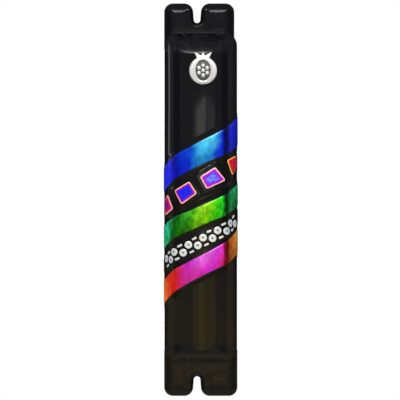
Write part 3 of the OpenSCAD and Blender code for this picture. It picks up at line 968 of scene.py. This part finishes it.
EMBLEM_LOW, EMBLEM_HIGH = node_box("emblem")
FRUIT_R = (EMBLEM_HIGH[0] - EMBLEM_LOW[0]) / 2
FRUIT_X = (EMBLEM_HIGH[0] + EMBLEM_LOW[0]) / 2
FRUIT_Z = EMBLEM_LOW[2] + FRUIT_R
WINDOW = (2.88, 4.0)
WINDOW_DEPTH = 0.75
SEED_R, SEED_H = 0.82, 1.3
SEEDS = ((0, 0), (0, 1.9), (0, -1.9), (1.6, 0.95), (1.6, -0.95), (-1.6, 0.95), (-1.6, -0.95))
CROWN_TIPS = ((-3.0, 6.7), (0, 6.8), (3.0, 6.7))


def window_distance(x, z):
    """About how far a point is outside the oval window in the fruit."""
    ratio = np.hypot(x / WINDOW[0], z / WINDOW[1])
    steepness = np.hypot(x / WINDOW[0] ** 2, z / WINDOW[1] ** 2)
    return (ratio - 1) * ratio / np.maximum(steepness, 1e-3)


def emblem_face(x, z):
    """Height of the fruit's domed face, with a bead round its window."""
    edge_h, dome_h, least_h = 1.5, 0.55, 1.3
    bead_h, bead_place, bead_w = 0.16, 0.5, 0.28
    dome = edge_h + dome_h * (1 - (x**2 + z**2) / FRUIT_R**2)
    bead = bead_h * np.exp(-(((window_distance(x, z) - bead_place) / bead_w) ** 2))
    return np.maximum(dome, least_h) + bead


def emblem_field(p):
    """Below zero inside the emblem: a pomegranate with a pointed crown and seeds in a window."""
    x, z = p[..., 0] - FRUIT_X, p[..., 2] - FRUIT_Z
    height = EMBLEM_HIGH[1] - p[..., 1]
    outline = np.hypot(x, z) - FRUIT_R
    for tip_x, tip_z in CROWN_TIPS:
        foot = np.array([tip_x * 0.3, FRUIT_R - 0.9])
        lean = np.array([tip_x, tip_z]) - foot
        along = np.clip(((x - foot[0]) * lean[0] + (z - foot[1]) * lean[1]) / (lean @ lean), 0, 1)
        from_axis = np.hypot(x - foot[0] - along * lean[0], z - foot[1] - along * lean[1])
        outline = round_or(outline, from_axis - (1.3 - 1.0 * along), 0.3)
    face = emblem_face(x, z)
    solid = round_and(outline, height - face, 0.55)
    recess = np.maximum(window_distance(x, z), face - WINDOW_DEPTH - height)
    solid = round_and(solid, -recess, 0.2)
    for seed_x, seed_z in SEEDS:
        seed = np.sqrt((x - seed_x) ** 2 + (z - seed_z) ** 2 + (height - SEED_H) ** 2) - SEED_R
        solid = round_or(solid, seed, 0.12)
    return round_and(solid, -height, 0.15)


def make_emblem():
    vertices, normals, faces = surface_net(emblem_field, EMBLEM_LOW, EMBLEM_HIGH, EMBLEM_GRID)
    x, z = vertices[:, 0] - FRUIT_X, vertices[:, 2] - FRUIT_Z
    below_face = emblem_face(x, z) - (EMBLEM_HIGH[1] - vertices[:, 1])
    # 1 over the window, falling to 0 towards the fruit's edge
    in_window = smooth_step(0.6, 0.0, window_distance(x, z))
    hollow = smooth_step(0.1, 0.75, below_face) * in_window
    piece = make_piece("emblem_cast", vertices, faces, "pewter", normals, {"hollow": hollow})
    settle(piece, "case", "emblem")


# ---- Scroll, tube, stoppers and pads ----


def softened(profile, r, closed=False):
    """A profile with its corners rounded, and points beside them that keep the walls' shading flat."""
    # The most that a rounding takes of a side, and how far out the points beside it are
    most_share, beside = 0.45, 0.2
    points = [np.array(p, float) for p in profile]
    count = len(points)
    found = [] if closed else [points[0]]
    for i in range(0 if closed else 1, count if closed else count - 1):
        before, here, after = points[i - 1], points[i], points[(i + 1) % count]
        back, on = before - here, after - here
        back_l, on_l = np.linalg.norm(back), np.linalg.norm(on)
        reach = min(r, back_l * most_share, on_l * most_share)
        start, end = here + back / back_l * reach, here + on / on_l * reach
        found.append(start + (start - here) * beside)
        found.extend(bend(start, here, end, t) for t in np.linspace(0, 1, 5))
        found.append(end + (end - here) * beside)
    if not closed:
        found.append(points[-1])
    return found


def lathe(profile, segments=72, closed=False):
    """Vertices and faces of a profile of (radius, height) turned about Z. Points on the axis are shared."""
    vertices, rings, faces = [], [], []
    for radius, height in profile:
        on_axis = radius < 1e-6
        count = 1 if on_axis else segments
        rings.append([len(vertices) + i for i in range(count)])
        for a in np.linspace(0, 2 * math.pi, count, endpoint=False):
            vertices.append((radius * math.cos(a), radius * math.sin(a), height))
    if closed:
        rings.append(rings[0])
    for low, high in zip(rings, rings[1:]):
        for i in range(segments):
            quad = ((low, i), (low, i + 1), (high, i + 1), (high, i))
            faces.append(list(dict.fromkeys(ring[at % len(ring)] for ring, at in quad)))
    return np.array(vertices), [f for f in faces if len(f) > 2]


TUBE_LOW, TUBE_HIGH = node_box("scroll_tube")
TUBE_R = TUBE_HIGH[0]
TUBE_WALL = 0.4
PLUG_GAP = 0.04
AXIS_Y = (TUBE_LOW[1] + TUBE_HIGH[1]) / 2


def make_tube():
    bore, bottom, top = TUBE_R - TUBE_WALL, TUBE_LOW[2], TUBE_HIGH[2]
    corners = [(bore, bottom), (TUBE_R, bottom), (TUBE_R, top), (bore, top)]
    vertices, faces = lathe(softened(corners, 0.15, True), 96, True)
    vertices[:, 1] += AXIS_Y
    piece = make_piece("tube_clear", vertices, faces, "clear_plastic")
    settle(piece, "tube", "scroll_tube")


def stopper_profile(plug_r):
    """Half outline of a stopper: plug with three sealing beads, flange, and grip with a dimple."""
    seat = plug_r - 0.1
    corners = [(0, -4.6), (1.6, -4.6), (1.9, -5.0), (plug_r - 0.6, -5.0), (seat, -4.4)]
    bead_foot, bead_top = 0.35, 0.12
    for z in (-3.9, -2.7, -1.5):
        corners += [(seat, z - bead_foot), (plug_r, z - bead_top)]
        corners += [(plug_r, z + bead_top), (seat, z + bead_foot)]
    corners += [(seat, 0.02), (TUBE_R - 0.1, 0.02), (TUBE_R - 0.1, 1.2), (TUBE_R - 0.5, 1.6)]
    corners += [(1.75, 1.6), (1.5, 1.85), (1.5, 2.8), (1.15, 3.2), (0.5, 3.2), (0.35, 3.05), (0, 3.05)]
    return corners


def make_stopper(name, end, direction):
    """A stopper at one end of the tube, its grip fluted and the flange's edge finely knurled."""
    plug_r = TUBE_R - TUBE_WALL - PLUG_GAP
    vertices, faces = lathe(softened(stopper_profile(plug_r), 0.12), 120)
    radius = np.hypot(vertices[:, 0], vertices[:, 1])
    turn = np.arctan2(vertices[:, 1], vertices[:, 0])
    height = vertices[:, 2]
    grip = (radius > 1.1) * smooth_step(1.8, 2.0, height)
    flange = (radius > TUBE_R - 0.4) * smooth_step(0.1, 0.3, height) * smooth_step(1.3, 1.1, height)
    fluting = 0.06 * np.cos(12 * turn)
    knurling = 0.006 * (1 + np.cos(40 * turn))
    vertices[:, :2] *= (1 + grip * fluting - flange * knurling)[:, None]
    vertices[:, 2] = end + direction * height
    vertices[:, 1] += AXIS_Y
    piece = make_piece(name + "_moulding", vertices, faces, "ivory_plastic")
    settle(piece, name, name)


def make_scroll():
    """A blank sheet rolled up from its middle, each turn a little proud of or behind the next."""
    low, high = node_box("scroll")
    sheet_t, turns, steps, stations = 0.2, 5.4, 330, 12
    inner_r = 0.8 + sheet_t / 2
    outer_r = high[0] - sheet_t / 2 - 0.02
    angles = np.linspace(0, 2 * math.pi * turns, steps)
    radii = np.linspace(inner_r, outer_r, steps) + 0.03 * np.sin(0.7 * angles)
    radii = np.clip(radii, inner_r, outer_r)
    middle, half = (low[2] + high[2]) / 2, (high[2] - low[2]) / 2
    rings = []
    for share in np.arange(stations) / (stations - 1):
        # How far the turns' ends stand back from the roll's
        end_slip = 0.28 + 0.22 * np.sin(angles * 0.9 + 4 * share) + 0.05 * np.sin(angles * 3.1)
        z = middle + (2 * share - 1) * (half - end_slip)
        sway = 0.02 * math.sin(9 * share)
        for side in (1, -1):
            order = slice(None, None, side)
            r = (radii + sway + side * sheet_t / 2)[order]
            a = angles[order]
            rings.append(np.stack([r * np.cos(a), AXIS_Y + r * np.sin(a), z[order]], -1))
    vertices = np.concatenate(rings)
    count = 2 * steps
    faces = ring_faces(stations, count)
    for start in (0, (stations - 1) * count):
        for i in range(steps - 1):
            faces.append([start + i, start + i + 1, start + count - 2 - i, start + count - 1 - i])
    piece = make_piece("scroll_roll", vertices, faces, "parchment")
    settle(piece, "scroll", "scroll")


def make_foam_pad(name):
    """A strip of foam tape pressed between the channel's roof and the tube, its sides bulging."""
    low, high = node_box(name)
    middle, half = (low + high) / 2, (high - low) / 2
    full_bulge, corner_r, edge_r, lip_r = 0.12, 0.8, 0.45, 0.3
    tube_gap, cell_depth = 0.08, 0.03

    def field(p):
        offset = np.abs(p - middle) - half
        bulge = full_bulge * (1 - ((p[..., 1] - middle[1]) / half[1]) ** 2)
        held_in = full_bulge - bulge
        sides = round_and(offset[..., 0] + held_in, offset[..., 2] + held_in, corner_r)
        block = round_and(sides, offset[..., 1], edge_r)
        tube = np.hypot(p[..., 0], p[..., 1] - AXIS_Y) - TUBE_R - tube_gap
        cells = np.sin(7.1 * p[..., 0] + 1) * np.sin(6.3 * p[..., 1]) * np.sin(6.7 * p[..., 2])
        return round_and(block, -tube, lip_r) + cell_depth * cells

    vertices, normals, faces = surface_net(field, low, high, FOAM_GRID)
    name_given = name.replace("foam_pad", "foam") + "_cushion"
    piece = make_piece(name_given, vertices, faces, "white_foam", normals)
    settle(piece, "case", name)


# ---- Making the object ----

glass_pieces = [make_glass_shell()]
for seed, colour in enumerate(("blue", "green", "magenta"), 1):
    make_strip("band_" + colour, colour + "_dichroic_glass", seed)
glass_pieces.append(make_strip("band_dotted", "black_glass", 4))
for tile in TILES:
    make_tile(tile)
make_pattern()
make_emblem()
for pad in ("foam_pad_upper", "foam_pad_lower"):
    make_foam_pad(pad)
make_tube()
make_stopper("upper_stopper", TUBE_HIGH[2], 1)
make_stopper("lower_stopper", TUBE_LOW[2], -1)
make_scroll()
for adhesive_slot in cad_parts["emblem_adhesive"].material_slots:
    adhesive_slot.material = MATERIALS["clear_adhesive"]


# ---- Floor, world, lights and camera ----


def make_floor():
    """A pale floor below the camera's view."""
    half, z = 1.6, -0.3
    mesh = bpy.data.meshes.new("floor")
    corners = [(-half, -half, z), (half, -half, z), (half, half, z), (-half, half, z)]
    mesh.from_pydata(corners, [], [(0, 1, 2, 3)])
    floor = bpy.data.objects.new("floor", mesh)
    bpy.context.scene.collection.objects.link(floor)
    mesh.materials.append(make_material(pale_floor))
    floor.visible_glossy = False


class Studio(Nodes):
    """The world's nodes: white behind the object, soft light on matt surfaces, and a dark studio with
    a few lighter walls for whatever glossy glass reflects."""

    def __init__(self):
        world = bpy.data.worlds.new("studio")
        bpy.context.scene.world = world
        super().__init__(world)
        self.nodes.clear()
        direction = self.add("TexCoord").outputs["Generated"]
        self.axes = self.add("SeparateXYZ", {0: direction}).outputs

    def walls(self, axis, stops):
        """Colours, or greys, along an axis of the direction, between -1 and 1."""
        along = self.spread(self.axes[axis], -1, 1)
        colours = [(at, level if isinstance(level, tuple) else (level,) * 3) for at, level in stops]
        return self.ramp(along, [((at + 1) / 2, colour) for at, colour in colours])

    def background(self, colour):
        return self.add("Background", {0: colour}).outputs[0]

    def either(self, factor, a, b):
        return self.add("MixShader", {0: factor, 1: a, 2: b}).outputs[0]

    def build(self):
        # The front wall's colour by height, from the warm table below to the neutral room above
        front = [(-0.7, (0.27, 0.23, 0.16)), (-0.34, (0.21, 0.18, 0.13)), (-0.15, (0.34, 0.27, 0.12))]
        front += [(-0.08, (0.38, 0.30, 0.12)), (-0.045, (0.285, 0.215, 0.16)), (0.0, (0.20, 0.20, 0.235))]
        # Brightness from the front wall at -1 to the back wall at 1, level with the object or well off it
        level = [(-1, 1.0), (-0.87, 0.95), (-0.78, 0.4), (0.45, 0.3), (0.6, 0.55), (0.75, 0.26)]
        level += [(0.85, 0.06), (1, 0.02)]
        tilted = [(-1, 1.0), (-0.6, 0.95), (0.3, 0.72), (0.6, 0.56), (0.75, 0.3), (0.85, 0.06), (1, 0.02)]
        # Which of the two holds, by height
        off_level = [(-0.35, 1), (-0.2, 0), (-0.073, 0), (-0.068, 1), (-0.03, 1), (-0.01, 0)]
        off_level += [(0.15, 0), (0.35, 1)]
        shade = self.mix(self.walls("Z", off_level), self.walls("Y", level), self.walls("Y", tilted))
        studio = self.background(self.mix(1.0, self.walls("Z", front), shade, "MULTIPLY"))
        soft = self.background(self.walls("Y", [(-1, 0.7), (-0.3, 1.0), (0.3, 1.3), (1, 1.3)]))
        white = self.background((1.0, 1.0, 1.0))
        ray = self.add("LightPath").outputs
        by_ray = self.either(ray["Is Diffuse Ray"], studio, soft)
        self.add("OutputWorld", {0: self.either(ray["Is Camera Ray"], by_ray, white)})


MIDDLE = (0, 0, 0)


def softbox(name, place, aim, size, radiance, colour=(1, 1, 1)):
    """A rectangular light of a given brightness at a place in metres, facing another."""
    data = bpy.data.lights.new(name, "AREA")
    data.shape = "RECTANGLE"
    data.size, data.size_y = size
    data.energy = radiance * math.pi * size[0] * size[1]
    data.color = colour
    light = bpy.data.objects.new(name, data)
    light.location = place
    light.rotation_euler = (Vector(aim) - Vector(place)).to_track_quat("-Z", "Y").to_euler()
    light.visible_camera = False
    bpy.context.scene.collection.objects.link(light)
    return light


def around(azimuth, elevation, distance=0.8):
    """A place seen from the object at an angle round from its front, and up, in degrees."""
    turn, rise = math.radians(azimuth), math.radians(elevation)
    flat = distance * math.cos(rise)
    return (flat * math.sin(turn), -flat * math.cos(turn), distance * math.sin(rise))


def spare(light, objects):
    """Leaves these objects out of a light, so that it makes no hard glare on them."""
    group = bpy.data.collections.new("spared_by_" + light.name)
    for item in objects:
        group.objects.link(item)
    light.light_linking.receiver_collection = group
    for item in group.collection_objects:
        item.light_linking.link_state = "EXCLUDE"


def make_lights():
    key = softbox("key", around(3, 45), MIDDLE, (0.5, 0.4), 5)
    spare(key, glass_pieces)
    # Boxes one behind another, so that their shine on the rounded edges fades outwards
    for i, width in enumerate((0.12, 0.2, 0.3)):
        size = (width, 0.08 + 0.3 * width)
        softbox(f"edge_light_{i}", around(2, 34, 0.8 + 0.005 * i), MIDDLE, size, 1.5)
    softbox("edge_light_left", around(-14, 32, 0.82), MIDDLE, (0.22, 0.13), 3.6)
    # Boxes that the crown reflects: left, right, bottom and top edge, brightness and colour
    neutral, warm = (1.0, 1.0, 0.86), (1.0, 0.78, 0.0)
    boxes = [
        (-0.17, 0.3, 0.0, 0.0745, 0.12, neutral), (-0.12, 0.12, 0.0, 0.073, 0.25, neutral),
        (-0.06, 0.09, 0.0, 0.072, 0.5, neutral), (0.13, 0.29, 0.0, 0.0745, 0.22, neutral),
        (-0.17, 0.3, -0.113, 0.0, 0.2, warm), (-0.05, 0.09, -0.11, 0.0, 0.18, warm),
    ]
    for i, (left, right, bottom, top, radiance, colour) in enumerate(boxes):
        # Each a little behind the one before, where they overlap
        place = ((left + right) / 2, -0.8 - 0.002 * i, (bottom + top) / 2)
        aim = (place[0], 0, place[2])
        softbox(f"front_box_{i}", place, aim, (right - left, top - bottom), radiance, colour)
    # A slim box beside the upper half, which draws the thin line down its left flank
    x, y, _ = around(-134, 0, 0.7)
    line_z = 0.08
    softbox("left_line", (x, y, line_z), (0, 0, line_z), (0.06, 0.108), 0.5, (0.94, 0.94, 1.0))
    rear_fill = softbox("rear_fill", around(165, 45), MIDDLE, (0.5, 0.5), 3)
    spare(rear_fill, glass_pieces)
    side_fill = softbox("rear_side_fill", around(-120, 40), MIDDLE, (0.4, 0.3), 3)
    side_fill.visible_glossy = False


def make_camera():
    """A long lens straight in front, as tall a view as the case and a little more."""
    lens, view_height = 200, 0.1557
    left, down = 0.0003, 0.00013
    data = bpy.data.cameras.new("camera")
    data.lens = lens
    camera = bpy.data.objects.new("camera", data)
    distance = view_height * lens / data.sensor_width
    camera.location = (-left, -distance, -down)
    camera.rotation_euler = (math.pi / 2, 0, 0)
    bpy.context.scene.collection.objects.link(camera)
    bpy.context.scene.camera = camera


make_floor()
Studio().build()
make_lights()
make_camera()
bpy.context.scene.view_settings.view_transform = "Standard"
